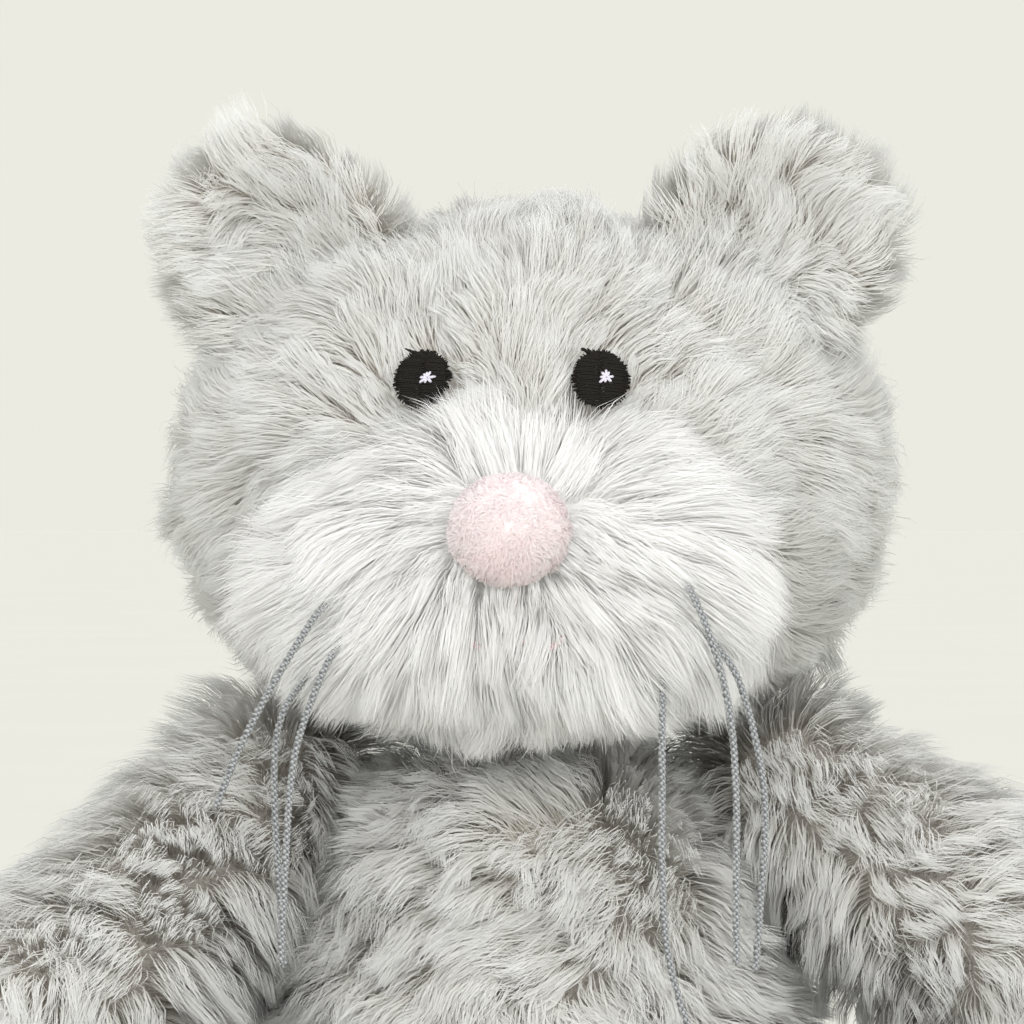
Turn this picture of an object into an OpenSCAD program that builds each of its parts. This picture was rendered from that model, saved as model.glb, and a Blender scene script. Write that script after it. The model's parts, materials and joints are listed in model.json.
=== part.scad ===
// Seated plush cat, sewn from fur cloth and stuffed. It faces -Y, with +Z up.
// "left" and "right" are as seen from the front: left is -X and right is +X.
// Each cloth panel is a shell as thick as its backing and the lower part of its pile.

/* [Head] */
// Width of the head without the ears
head_width = 168; // [164:1:172]
// Height of the head
head_height = 126; // [122:1:128]
// Height of the head's middle above the seat
head_middle = 211; // [209:1:214]
// Width of the white muzzle
muzzle_width = 112; // [106:1:114]
// Height of the white muzzle
muzzle_height = 76; // [72:1:78]
// Width of the nose
nose_width = 30; // [26:1:32]
// Distance between the middles of the two eyes
eye_spacing = 41; // [38:1:44]
// Diameter of an embroidered eye
eye_width = 13.4; // [12:0.2:14]

/* [Ears] */
// Diameter of an ear
ear_width = 60; // [54:1:60]
// Thickness of an ear
ear_thickness = 26; // [22:1:28]

/* [Body] */
// Width of the belly
belly_width = 139; // [136:1:140]
// Width of the chest
chest_width = 106; // [104:1:107]
// Height of the chest's middle above the seat
chest_middle = 98; // [97:1:99]

/* [Arms] */
// Diameter of an arm at the shoulder
shoulder_width = 45; // [44:0.5:46]
// Diameter of an arm at the paw
paw_width = 60; // [58:1:61]
// Length of an arm from the shoulder's middle to the paw's end
arm_length = 134; // [128:1:136]
// Angle of the left arm below level
left_arm_drop = 50; // [46:1:52]
// Angle of the left arm towards the front
left_arm_reach = 34; // [30:1:36]
// Angle of the right arm below level
right_arm_drop = 38; // [34:1:42]
// Angle of the right arm towards the front
right_arm_reach = 10; // [6:1:14]

/* [Legs] */
// Diameter of a leg at the hip
hip_width = 60; // [58:1:61]
// Diameter of a foot
foot_width = 69; // [67:1:70]
// Length of a leg from the hip's middle to the foot's end
leg_length = 97; // [92:1:98]
// Angle of each leg outwards from straight ahead
leg_turn = 15; // [14:1:18]

/* [Tail] */
// Diameter of the tail
tail_width = 30; // [28:1:31]
// Radius of the tail's curve
tail_curve = 70; // [64:1:76]
// Angle that the tail's curve turns through
tail_sweep = 70; // [50:1:75]

/* [Cloth and thread] */
// Thickness of the fur cloth of the head, body, arms and legs
cloth = 8; // [6:0.5:9]
// Diameter of a whisker cord
whisker_width = 1.8; // [1.6:0.1:2]

/* [Hidden] */
$fn = 64;

grey = "#c3c2ba";
white = "#f4f4f2";
pink = "#efd3d4";
black = "#25211f";
silver = "#9ea0a1";
fibre = "#e9e6dc";
calico = "#ddd3bd";

// A joint's two bodies stay this far apart, and filling stays this far inside its cloth
joint_gap = 0.5;
slack = 0.4;
far = 1000;

// Places
head = [0, 0, head_middle];
neck = [0, 0, 150];
neck_ball = 26;
muzzle = [0, -48, head_middle - 24];
nose = [2, -85, head_middle - 13];
ear_out = 59;
ear = [ear_out, -14, head_middle + 54];
shoulder = [60, 2, 136.5];
hip = [42, -48, foot_width / 2];
tail_root = [0, belly_width / 2 - 2.5, tail_width / 2 + 1.5];
paw_start = arm_length - 34;
foot_start = leg_length - 54;
belly_middle = 47;

// An eye lies this far in front of the head's middle, tipped up and turned outwards
eye_reach = head_height / 2 - 2.6;
eye_lift = 21;
eye_turn = 8;
eye_height = 1.8;
eye_foot = 1;

// A stitched lash: its place beside the eye's middle, its turn and its size
lash_place = [-3.2, 6.9, -1.2];
lash_turn = -25;
lash_size = [5, 1.6, 2];

// The white glint: its place on the eye and its size
glint_place = [1.3, -0.3, 0.8];
glint_width = 3.4;
glint_height = 0.4;

// The mouth: two arcs of thread beside a short upright stitch
mouth_place = [3, -85, head_middle - 30];
mouth_tilt = -20;
mouth_thread = 0.9;
mouth_arc = 6;
mouth_sweep = 150;

// The nose's depth and the thickness of its short plush
nose_depth = 20;
nose_plush = 2.5;

// The pouch of pellets that weighs the seat down
pouch_place = [0, 8, 40];
pouch_width = 70;
pouch_height = 56;
calico_thickness = 1.5;

// How far an arm swings in from rest, and how far a leg lifts
arm_in = 5;
leg_up = 18;

// The seat's cloth clears a swinging limb by this much, over this share of the limb's length,
// and the body's filling clears an arm's or the tail's root, and a leg's root, by these
limb_room = 4 * joint_gap;
arm_room_share = 0.6;
leg_room_share = 0.5;
leg_swell = 1.5;
root_room = 3;
hip_room = 5;

// Bead strings: [place along the axis, radius] of the balls that a round form is stretched over
cheek = head_height / 2 - 5;
head_beads = [[cheek - head_width / 2, cheek], [0, head_height / 2], [head_width / 2 - cheek, cheek]];
jowl = muzzle_height / 2 - 4;
muzzle_beads = [[jowl - muzzle_width / 2, jowl], [0, muzzle_height / 2], [muzzle_width / 2 - jowl, jowl]];
body_beads = [[belly_middle, belly_width / 2], [chest_middle, chest_width / 2]];
wrist = paw_width / 2 - 1;
arm_beads = [
    [0, shoulder_width / 2], [arm_length * 0.55, wrist], [arm_length - paw_width / 2, paw_width / 2]];
calf = hip_width / 2 + leg_swell;
leg_beads = [[0, hip_width / 2], [leg_length * 0.4, calf], [leg_length - foot_width / 2, foot_width / 2]];

// Whisker routes from the muzzle's cloth to the cut end
whisker_routes = [
    [[-38, -76, 183], [-41, -83, 180], [-46, -87, 172], [-52, -87, 162], [-59, -85, 149], [-65, -82, 135]],
    [[-43, -64, 168], [-46, -72, 164], [-50, -77, 157], [-52, -77, 148], [-52, -77, 134], [-51, -77, 117],
        [-50, -77, 99]],
    [[-34, -75, 176], [-37, -83, 172], [-41, -85, 164], [-46, -84, 150], [-48, -83, 137], [-49, -83, 119],
        [-50, -83, 100]],
    [[35, -68, 166], [36, -76, 162], [36, -79, 153], [36, -79, 140], [36, -79, 122], [37, -79, 105],
        [40, -79, 92], [43, -79, 84]],
    [[40, -75, 187], [43, -83, 184], [47, -87, 175], [50, -87, 165], [52, -86, 154], [53, -86, 138],
        [53, -86, 120], [53, -86, 101]],
    [[44, -68, 176], [48, -76, 172], [53, -79, 165], [57, -79, 151], [59, -79, 139], [59, -79, 126],
        [58, -79, 113], [57, -79, 99]]];
whisker_rings = 12;
whisker_sides = 8;

// ---- Forms ----

function slope(a, b) = asin((a[1] - b[1]) / (b[0] - a[0]));

// Outline of a bead string, as [radius, place] from one end to the other, in steps of about 12 degrees
function bead_outline(beads, grow) = [
    for (i = [0 : len(beads) - 1])
        let (from = i == 0 ? -90 : slope(beads[i - 1], beads[i]))
        let (to = i == len(beads) - 1 ? 90 : slope(beads[i], beads[i + 1]))
        let (steps = max(1, ceil((to - from) / 12)))
        for (k = [0 : steps])
            let (turn = from + (to - from) * k / steps)
            [(beads[i][1] + grow) * cos(turn), beads[i][0] + (beads[i][1] + grow) * sin(turn)]];

// Half an oval, as [radius, place], wide across and deep along the axis
function oval_outline(wide, deep) = [
    for (k = [0 : 14]) [wide / 2 * cos(-90 + k * 180 / 14), deep / 2 * sin(-90 + k * 180 / 14)]];

module stretch(beads, grow = 0) {
    rotate_extrude() polygon(bead_outline(beads, grow));
}

module oval(wide, deep) {
    rotate_extrude() polygon(oval_outline(wide, deep));
}

// Turn +Z to the unit direction d, at the place p
module aim(p, d) {
    translate(p) rotate([0, acos(d[2]), atan2(d[1], d[0])]) children();
}

// Half of space: in front of the plane y, behind it, and so on
module front_of(y) {
    translate([-far / 2, y - far, -far / 2]) cube(far);
}

module behind(y) {
    translate([-far / 2, y, -far / 2]) cube(far);
}

module below(z) {
    translate([-far / 2, -far / 2, z - far]) cube(far);
}

module above(z) {
    translate([-far / 2, -far / 2, z]) cube(far);
}

function side_of(p, side) = [side * p[0], p[1], p[2]];

// ---- Head ----

module head_form(grow = 0) {
    translate(head) rotate([0, 90, 0]) stretch(head_beads, grow);
}

module muzzle_form(grow = 0) {
    translate(muzzle) rotate([0, 90, 0]) stretch(muzzle_beads, grow);
}

module nose_form(grow = 0) {
    translate(nose) rotate([90, 0, 0]) oval(nose_width + 2 * grow, nose_depth + 2 * grow);
}

// The eye's place on the face, with +Z out of the face
module at_eye(side) {
    translate([side * eye_spacing / 2, -eye_reach * cos(eye_lift), head_middle + eye_reach * sin(eye_lift)])
        rotate([90 - eye_lift, 0, side * eye_turn])
            children();
}

module lash_form(grow = 0) {
    translate(lash_place)
        rotate([0, 0, lash_turn])
            translate([-lash_size[0] / 2 - grow, -lash_size[1] / 2 - grow, 0])
                cube([lash_size[0] + 2 * grow, lash_size[1] + 2 * grow, lash_size[2]]);
}

module eye_form(grow = 0) {
    translate([0, 0, -eye_foot]) cylinder(d = eye_width + 2 * grow, h = eye_height + grow);
}

module face_panel() {
    color(grey) difference() {
        head_form();
        head_form(-cloth);
        behind(0);
        muzzle_form(-cloth + slack);
        translate(neck) sphere(neck_ball + slack);
        for (side = [-1, 1]) at_eye(side) {
            eye_form(slack);
            lash_form(slack);
        }
    }
}

module head_back_panel() {
    color(grey) difference() {
        head_form();
        head_form(-cloth);
        front_of(0);
        translate(neck) sphere(neck_ball + slack);
    }
}

module muzzle_panel() {
    color(white) difference() {
        muzzle_form();
        muzzle_form(-cloth);
        head_form(slack);
    }
}

module nose_cover() {
    color(pink) difference() {
        nose_form();
        nose_form(-nose_plush);
        muzzle_form(slack);
    }
}

module nose_filling() {
    color(fibre) difference() {
        nose_form(-nose_plush - slack);
        muzzle_form(slack);
    }
}

module mouth_stitch() {
    color(pink) translate(mouth_place) rotate([mouth_tilt, 0, 0]) translate([0, 0, -5]) {
        cylinder(r = mouth_thread, h = 9, $fn = 24);
        for (side = [-1, 1])
            translate([side * mouth_arc, 0, 0])
                rotate([90, 0, 0])
                    rotate_extrude(angle = mouth_sweep, start = side > 0 ? 180 : -mouth_sweep, $fn = 48)
                        translate([mouth_arc, 0]) circle(mouth_thread, $fn = 24);
    }
}

module eye(side) {
    color(black) at_eye(side) {
        eye_form();
        lash_form();
    }
}

module eye_glint(side) {
    color(white) at_eye(side) translate(glint_place) cylinder(d = glint_width, h = glint_height);
}

module ear_form(side) {
    difference() {
        translate(side_of(ear, side)) rotate([90, 0, 0]) oval(ear_width, ear_thickness);
        head_form(slack);
    }
}

module ear_front(side) {
    color(grey) difference() {
        ear_form(side);
        behind(ear[1]);
    }
}

module ear_back(side) {
    color(grey) difference() {
        ear_form(side);
        front_of(ear[1]);
    }
}

module head_filling() {
    color(fibre) union() {
        head_form(-cloth - slack);
        muzzle_form(-cloth - slack);
        translate(neck) sphere(neck_ball);
    }
}

// ---- Whiskers ----

// A point on the smooth curve through the route, where u runs from 0 to 1
function on_route(route, u) =
    let (place = max(0, min(u * (len(route) - 1), len(route) - 1.0001)))
    let (i = floor(place))
    let (t = place - i)
    let (a = route[max(i - 1, 0)], b = route[i], c = route[i + 1], d = route[min(i + 2, len(route) - 1)])
    0.5 * (2 * b + (c - a) * t + (2 * a - 5 * b + 4 * c - d) * t * t + (3 * b - a - 3 * c + d) * t * t * t);

function unit(v) = v / norm(v);

module whisker(number) {
    route = whisker_routes[number - 1];
    last = whisker_rings - 1;
    points = [
        for (ring = [0 : last])
            let (p = on_route(route, ring / last))
            let (ahead = unit(on_route(route, (ring + 0.2) / last) - on_route(route, (ring - 0.2) / last)))
            let (across = unit(cross(ahead, [1, 0, 0])))
            let (out = cross(ahead, across))
            for (k = [0 : whisker_sides - 1])
                let (turn = k * 360 / whisker_sides)
                p + whisker_width / 2 * (cos(turn) * across + sin(turn) * out)];
    sides = [
        for (ring = [0 : last - 1], k = [0 : whisker_sides - 1])
            let (next = (k + 1) % whisker_sides)
            [ring * whisker_sides + next, ring * whisker_sides + k,
                (ring + 1) * whisker_sides + k, (ring + 1) * whisker_sides + next]];
    start = [for (k = [0 : whisker_sides - 1]) k];
    end = [for (k = [whisker_sides - 1 : -1 : 0]) last * whisker_sides + k];
    color(silver) polyhedron(points, concat([start], sides, [end]));
}

// ---- Body ----

module body_form(grow = 0) {
    difference() {
        stretch(body_beads, grow);
        below(max(0, -grow));
    }
}

// A ball with a flared cone in front of it, for a root that swings by half_swing either way
module swing_room(root_width, end_width, length, half_swing) {
    sphere(d = root_width + limb_room);
    cylinder(
        r1 = (root_width / 2 + limb_room) / cos(half_swing),
        r2 = end_width / 2 + limb_room + length * tan(half_swing),
        h = length);
}

// The room that an arm takes in the body between its rest and its lowest angle
module arm_room(side) {
    translate(side_of(shoulder, side))
        rotate([0, side * arm_in / 2, 0])
            aim([0, 0, 0], arm_direction(side))
                swing_room(shoulder_width, paw_width, arm_length * arm_room_share, arm_in / 2);
}

// The room that a leg takes in the body between its rest and its highest angle
module leg_room(side) {
    translate(side_of(hip, side))
        rotate([-leg_up / 2, 0, 0])
            aim([0, 0, 0], leg_direction(side))
                swing_room(hip_width, 2 * calf, leg_length * leg_room_share, leg_up / 2);
}

// The room that the roots of the head, arms, legs and tail take in the body
module sockets() {
    translate(neck) sphere(neck_ball + joint_gap);
    for (side = [-1, 1]) {
        arm_room(side);
        leg_room(side);
    }
    translate(tail_root) sphere(d = tail_width + 2 * joint_gap);
}

module chest_panel() {
    color(grey) difference() {
        body_form();
        body_form(-cloth);
        below(cloth);
        behind(0);
        sockets();
    }
}

module back_panel() {
    color(grey) difference() {
        body_form();
        body_form(-cloth);
        below(cloth);
        front_of(0);
        sockets();
    }
}

module base_panel() {
    color(grey) difference() {
        body_form();
        above(cloth);
        sockets();
    }
}

module pouch_form(grow = 0) {
    translate(pouch_place) oval(pouch_width + 2 * grow, pouch_height + 2 * grow);
}

module body_filling() {
    color(fibre) difference() {
        body_form(-cloth - slack);
        pouch_form(slack);
        translate(neck) sphere(neck_ball + joint_gap);
        for (side = [-1, 1]) {
            translate(side_of(shoulder, side)) sphere(shoulder_width / 2 + root_room);
            translate(side_of(hip, side)) sphere(hip_width / 2 + hip_room);
        }
        translate(tail_root) sphere(tail_width / 2 + root_room);
    }
}

module weight_pouch() {
    color(calico) difference() {
        pouch_form();
        pouch_form(-calico_thickness);
    }
}

module pouch_pellets() {
    color(calico) pouch_form(-calico_thickness - slack);
}

// ---- Arms, legs and tail ----

function arm_direction(side) =
    let (drop = side < 0 ? left_arm_drop : right_arm_drop)
    let (reach = side < 0 ? left_arm_reach : right_arm_reach)
    [side * cos(reach) * cos(drop), -sin(reach), -cos(reach) * sin(drop)];

function leg_direction(side) = [side * sin(leg_turn), -cos(leg_turn), 0];

module limb_shell(beads) {
    difference() {
        stretch(beads);
        stretch(beads, -cloth);
    }
}

module arm(side) {
    color(grey) aim(side_of(shoulder, side), arm_direction(side)) difference() {
        limb_shell(arm_beads);
        above(paw_start);
    }
}

module paw(side) {
    color(white) aim(side_of(shoulder, side), arm_direction(side)) difference() {
        limb_shell(arm_beads);
        below(paw_start);
    }
}

module arm_filling(side) {
    color(fibre) aim(side_of(shoulder, side), arm_direction(side)) stretch(arm_beads, -cloth - slack);
}

module leg(side) {
    color(grey) aim(side_of(hip, side), leg_direction(side)) difference() {
        limb_shell(leg_beads);
        above(foot_start);
    }
}

module foot(side) {
    color(white) aim(side_of(hip, side), leg_direction(side)) difference() {
        limb_shell(leg_beads);
        below(foot_start);
    }
}

module leg_filling(side) {
    color(fibre) aim(side_of(hip, side), leg_direction(side)) stretch(leg_beads, -cloth - slack);
}

// An arc of round cloth between two slightly fuller round ends
module tail_form(radius) {
    translate(tail_root) {
        sphere(radius);
        translate([tail_curve, 0, 0])
            rotate([0, 0, 180 - tail_sweep])
                rotate_extrude(angle = tail_sweep)
                    translate([tail_curve, 0]) circle(radius - 1);
        translate([tail_curve * (1 - cos(tail_sweep)), tail_curve * sin(tail_sweep), 0]) sphere(radius);
    }
}

module tail_cloth() {
    color(grey) difference() {
        tail_form(tail_width / 2);
        tail_form(tail_width / 2 - cloth);
    }
}

module tail_filling() {
    color(fibre) tail_form(tail_width / 2 - cloth - slack);
}

face_panel();
head_back_panel();
muzzle_panel();
nose_cover();
nose_filling();
mouth_stitch();
eye(-1);  // left_eye
eye(1);  // right_eye
eye_glint(-1);  // left_eye_glint
eye_glint(1);  // right_eye_glint
ear_front(-1);  // left_ear_front
ear_back(-1);  // left_ear_back
ear_front(1);  // right_ear_front
ear_back(1);  // right_ear_back
head_filling();
whisker(1);  // whisker_1
whisker(2);  // whisker_2
whisker(3);  // whisker_3
whisker(4);  // whisker_4
whisker(5);  // whisker_5
whisker(6);  // whisker_6
chest_panel();
back_panel();
base_panel();
body_filling();
weight_pouch();
pouch_pellets();
arm(-1);  // left_arm_cloth
paw(-1);  // left_paw_cloth
arm_filling(-1);  // left_arm_filling
arm(1);  // right_arm_cloth
paw(1);  // right_paw_cloth
arm_filling(1);  // right_arm_filling
leg(-1);  // left_leg_cloth
foot(-1);  // left_foot_cloth
leg_filling(-1);  // left_leg_filling
leg(1);  // right_leg_cloth
foot(1);  // right_foot_cloth
leg_filling(1);  // right_leg_filling
tail_cloth();
tail_filling();
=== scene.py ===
import json
import math

import bmesh
import bpy
import numpy as np
from mathutils import Euler, Matrix, Vector
from mathutils.bvhtree import BVHTree
from mathutils.kdtree import KDTree


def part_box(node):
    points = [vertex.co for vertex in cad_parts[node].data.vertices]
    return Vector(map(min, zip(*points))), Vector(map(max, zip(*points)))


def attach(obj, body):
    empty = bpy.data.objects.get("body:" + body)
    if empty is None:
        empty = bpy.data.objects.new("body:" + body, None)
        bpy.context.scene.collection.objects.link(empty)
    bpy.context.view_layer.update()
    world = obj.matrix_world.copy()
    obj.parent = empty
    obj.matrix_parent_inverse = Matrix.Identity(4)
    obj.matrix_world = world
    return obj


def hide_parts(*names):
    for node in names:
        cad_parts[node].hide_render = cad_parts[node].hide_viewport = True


# A seated plush cat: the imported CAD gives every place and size, and this script adds cloth, pile,
# thread and cord. Metres, +Z up, the cat faces -Y, "left" is -X.
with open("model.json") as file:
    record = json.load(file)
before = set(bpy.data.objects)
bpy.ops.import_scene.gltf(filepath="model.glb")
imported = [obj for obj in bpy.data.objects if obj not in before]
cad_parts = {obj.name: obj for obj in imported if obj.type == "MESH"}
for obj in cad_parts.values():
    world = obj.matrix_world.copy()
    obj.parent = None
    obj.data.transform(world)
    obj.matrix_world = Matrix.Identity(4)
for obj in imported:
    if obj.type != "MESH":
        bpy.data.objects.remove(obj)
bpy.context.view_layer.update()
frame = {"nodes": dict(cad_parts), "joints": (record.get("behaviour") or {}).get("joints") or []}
MM = 0.001
DOWN = np.array([0.0, 0.0, -1.0])


# ---- Camera, floor and light ----

# The camera is level; its distance, azimuth and lens are guesses
CAMERA_AZIMUTH = math.radians(5)
CAMERA_DISTANCE = 1.3
CAMERA_HEIGHT = 0.2022
CAMERA_SIDESTEP = 0.0048
CAMERA_LENS = 190.4


def make_camera():
    """A level view of the head, a little from the cat's own left."""
    data = bpy.data.cameras.new("camera")
    data.sensor_width = 36
    data.lens = CAMERA_LENS
    camera = bpy.data.objects.new("camera", data)
    back = Vector((math.sin(CAMERA_AZIMUTH), -math.cos(CAMERA_AZIMUTH), 0)) * CAMERA_DISTANCE
    aside = Vector((math.cos(CAMERA_AZIMUTH), math.sin(CAMERA_AZIMUTH), 0)) * CAMERA_SIDESTEP
    camera.location = back - aside + Vector((0, 0, CAMERA_HEIGHT))
    camera.rotation_euler = (math.pi / 2, 0, CAMERA_AZIMUTH)
    bpy.context.scene.collection.objects.link(camera)
    bpy.context.scene.camera = camera


# The dome is DOME_BRIGHT towards KEY_WAY and falls to DOME_DIM on the other sides
CREAM = (0.831, 0.831, 0.753)
KEY_WAY = (0.15, -0.98, 0.08)
DOME_DIM = 0.9
DOME_BRIGHT = 3.1
FLOOR_HALF = 60


def make_world():
    """Cream to the eye, while the light is a soft dome that is brighter above and in front."""
    world = bpy.data.worlds.new("studio")
    world.use_nodes = True
    tree = world.node_tree
    seen = tree.nodes["Background"]
    seen.inputs["Color"].default_value = (*CREAM, 1)
    dome = tree.nodes.new("ShaderNodeBackground")
    dome.inputs["Color"].default_value = (1.0, 0.995, 0.98, 1)
    way = tree.nodes.new("ShaderNodeTexCoord")
    towards = tree.nodes.new("ShaderNodeVectorMath")
    towards.operation = "DOT_PRODUCT"
    towards.inputs[1].default_value = KEY_WAY
    strength = tree.nodes.new("ShaderNodeMapRange")
    strength.interpolation_type = "SMOOTHSTEP"
    strength.inputs["From Min"].default_value = 0.3
    strength.inputs["From Max"].default_value = 1.0
    strength.inputs["To Min"].default_value = DOME_DIM
    strength.inputs["To Max"].default_value = DOME_BRIGHT
    ray = tree.nodes.new("ShaderNodeLightPath")
    mix = tree.nodes.new("ShaderNodeMixShader")
    tree.links.new(way.outputs["Generated"], towards.inputs[0])
    tree.links.new(towards.outputs["Value"], strength.inputs["Value"])
    tree.links.new(strength.outputs["Result"], dome.inputs["Strength"])
    tree.links.new(ray.outputs["Is Camera Ray"], mix.inputs["Fac"])
    tree.links.new(dome.outputs["Background"], mix.inputs[1])
    tree.links.new(seen.outputs["Background"], mix.inputs[2])
    tree.links.new(mix.outputs["Shader"], tree.nodes["World Output"].inputs["Surface"])
    bpy.context.scene.world = world
    bpy.context.scene.view_settings.view_transform = "Standard"


def make_floor():
    side = FLOOR_HALF
    corners = [(-side, -side, 0), (side, -side, 0), (side, side, 0), (-side, side, 0)]
    mesh = bpy.data.meshes.new("floor")
    mesh.from_pydata(corners, [], [(0, 1, 2, 3)])
    floor = bpy.data.objects.new("floor", mesh)
    bpy.context.scene.collection.objects.link(floor)
    mesh.materials.append(floor_material())


# ---- Materials ----

def new_material(name, roughness, specular=0.5, sheen=0.0):
    """A Principled material and the two node-tree handles that its own function adds to."""
    material = bpy.data.materials.new(name)
    material.use_nodes = True
    tree = material.node_tree
    shader = tree.nodes["Principled BSDF"]
    shader.inputs["Roughness"].default_value = roughness
    shader.inputs["Specular IOR Level"].default_value = specular
    shader.inputs["Sheen Weight"].default_value = sheen
    shader.inputs["Sheen Roughness"].default_value = 0.4
    return material, tree, shader


def ramp_node(tree, stops):
    """A colour ramp through (place, (r, g, b)) stops."""
    ramp = tree.nodes.new("ShaderNodeValToRGB")
    elements = ramp.color_ramp.elements
    while len(elements) > 1:
        elements.remove(elements[-1])
    elements[0].position = stops[0][0]
    elements[0].color = (*stops[0][1], 1)
    for place, colour in stops[1:]:
        elements.new(place).color = (*colour, 1)
    return ramp


def multiply_node(tree, first, second):
    mix = tree.nodes.new("ShaderNodeMix")
    mix.data_type = "RGBA"
    mix.blend_type = "MULTIPLY"
    mix.inputs["Factor"].default_value = 1
    tree.links.new(first, mix.inputs["A"])
    tree.links.new(second, mix.inputs["B"])
    return mix.outputs["Result"]


def texture_node(tree, kind, scale):
    """A texture in the object's own coordinates."""
    texture = tree.nodes.new(kind)
    texture.inputs["Scale"].default_value = scale
    coordinates = tree.nodes.new("ShaderNodeTexCoord")
    tree.links.new(coordinates.outputs["Object"], texture.inputs["Vector"])
    return texture


def noise_node(tree, scale, detail):
    noise = texture_node(tree, "ShaderNodeTexNoise", scale)
    noise.inputs["Detail"].default_value = detail
    return noise.outputs["Fac"]


def ramp_colour(tree, shader, share, stops):
    """The base colour follows `share` along a ramp."""
    ramp = ramp_node(tree, stops)
    tree.links.new(share, ramp.inputs["Fac"])
    tree.links.new(ramp.outputs["Color"], shader.inputs["Base Color"])


def bump_node(tree, shader, height, strength, distance):
    bump = tree.nodes.new("ShaderNodeBump")
    bump.inputs["Strength"].default_value = strength
    bump.inputs["Distance"].default_value = distance
    tree.links.new(height, bump.inputs["Height"])
    tree.links.new(bump.outputs["Normal"], shader.inputs["Normal"])


# Share of the light that a fibre passes on through itself
PILE_THROUGH = 0.45


def pile_material(name, along, between, roughness=0.65, sheen=0.05):
    """Pile: `along` colours a fibre from root to tip, and `between` tints one fibre against the next."""
    material, tree, shader = new_material(name, roughness, 0.12, sheen)
    uv = tree.nodes.new("ShaderNodeUVMap")
    uv.uv_map = FIBRE_UV
    split = tree.nodes.new("ShaderNodeSeparateXYZ")
    tree.links.new(uv.outputs["UV"], split.inputs["Vector"])
    length_ramp = ramp_node(tree, along)
    tint_ramp = ramp_node(tree, between)
    tree.links.new(split.outputs["Y"], length_ramp.inputs["Fac"])
    tree.links.new(split.outputs["X"], tint_ramp.inputs["Fac"])
    colour = multiply_node(tree, length_ramp.outputs["Color"], tint_ramp.outputs["Color"])
    tree.links.new(colour, shader.inputs["Base Color"])
    through = tree.nodes.new("ShaderNodeBsdfTranslucent")
    tree.links.new(colour, through.inputs["Color"])
    mix = tree.nodes.new("ShaderNodeMixShader")
    mix.inputs["Fac"].default_value = PILE_THROUGH
    tree.links.new(shader.outputs["BSDF"], mix.inputs[1])
    tree.links.new(through.outputs["BSDF"], mix.inputs[2])
    tree.links.new(mix.outputs["Shader"], tree.nodes["Material Output"].inputs["Surface"])
    return material


def grey_pile_material():
    """Grey: warm taupe towards the roots, lighter to silvery tips."""
    along = [(0.0, (0.66, 0.61, 0.55)), (0.2, (0.79, 0.765, 0.725)), (0.45, (0.85, 0.845, 0.825)),
             (0.85, (0.872, 0.88, 0.877))]
    between = [(0.0, (0.91, 0.90, 0.88)), (0.35, (0.97, 0.97, 0.96)), (1.0, (1.0, 1.0, 1.0))]
    return pile_material("grey_pile", along, between)


def white_pile_material():
    along = [(0.0, (0.955, 0.95, 0.94)), (0.3, (0.955, 0.953, 0.947)), (1.0, (0.953, 0.955, 0.953))]
    between = [(0.0, (0.98, 0.978, 0.972)), (0.5, (0.995, 0.995, 0.993)), (1.0, (1.0, 1.0, 1.0))]
    return pile_material("white_pile", along, between)


def pink_pile_material():
    along = [(0.0, (0.96, 0.91, 0.917)), (0.5, (0.965, 0.935, 0.94)), (1.0, (0.965, 0.95, 0.955))]
    between = [(0.0, (0.99, 0.91, 0.915)), (0.5, (1.0, 0.98, 0.98)), (1.0, (1.0, 1.0, 1.0))]
    return pile_material("pink_pile", along, between, roughness=0.75)


def cloth_material(name, dark, light):
    """The knitted backing that the pile grows from."""
    material, tree, shader = new_material(name, 0.9, 0.2, 0.2)
    knit = texture_node(tree, "ShaderNodeTexVoronoi", 900)
    ramp_colour(tree, shader, knit.outputs["Distance"], [(0.1, dark), (0.8, light)])
    bump_node(tree, shader, knit.outputs["Distance"], 0.6, 0.0004)
    return material


def thread_material(name, dark, light, scale, roughness=0.5, specular=0.4):
    """Glossy embroidery thread with its fine twist: wave bands of painted highlight and painted shade in the
    colour, and a matching bump.
    """
    material, tree, shader = new_material(name, roughness, specular)
    wave = texture_node(tree, "ShaderNodeTexWave", scale)
    wave.inputs["Distortion"].default_value = 3
    wave.bands_direction = "DIAGONAL"
    # Dark to light stops: painted shade in the twist's grooves up to painted highlights on its ridges
    ramp_colour(tree, shader, wave.outputs["Fac"], [(0.0, dark), (1.0, light)])
    bump_node(tree, shader, wave.outputs["Fac"], 0.4, 0.0001)
    return material


def fibre_filling_material():
    """Polyester stuffing: matted pale fibres."""
    material, tree, shader = new_material("stuffing_fibre", 0.85, 0.3, 0.3)
    mat = noise_node(tree, 450, 8)
    ramp_colour(tree, shader, mat, [(0.3, (0.62, 0.60, 0.55)), (0.7, (0.86, 0.85, 0.81))])
    bump_node(tree, shader, mat, 0.9, 0.0015)
    return material


def calico_material():
    """Plain woven cotton: two crossed sets of yarns."""
    material, tree, shader = new_material("calico_weave", 0.9, 0.2, 0.1)
    checker = texture_node(tree, "ShaderNodeTexChecker", 1400)
    slub = noise_node(tree, 240, 4)
    ramp_colour(tree, shader, slub, [(0.3, (0.55, 0.47, 0.35)), (0.7, (0.74, 0.66, 0.53))])
    bump_node(tree, shader, checker.outputs["Fac"], 0.5, 0.0002)
    return material


def pellet_material():
    """Smooth plastic pellets, each a slightly different off-white."""
    material, tree, shader = new_material("plastic_pellets", 0.35)
    cells = texture_node(tree, "ShaderNodeTexVoronoi", 260)
    off_whites = [(0.0, (0.60, 0.60, 0.57)), (0.6, (0.86, 0.86, 0.84))]
    ramp_colour(tree, shader, cells.outputs["Distance"], off_whites)
    bump_node(tree, shader, cells.outputs["Distance"], 0.8, 0.002)
    return material


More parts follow.
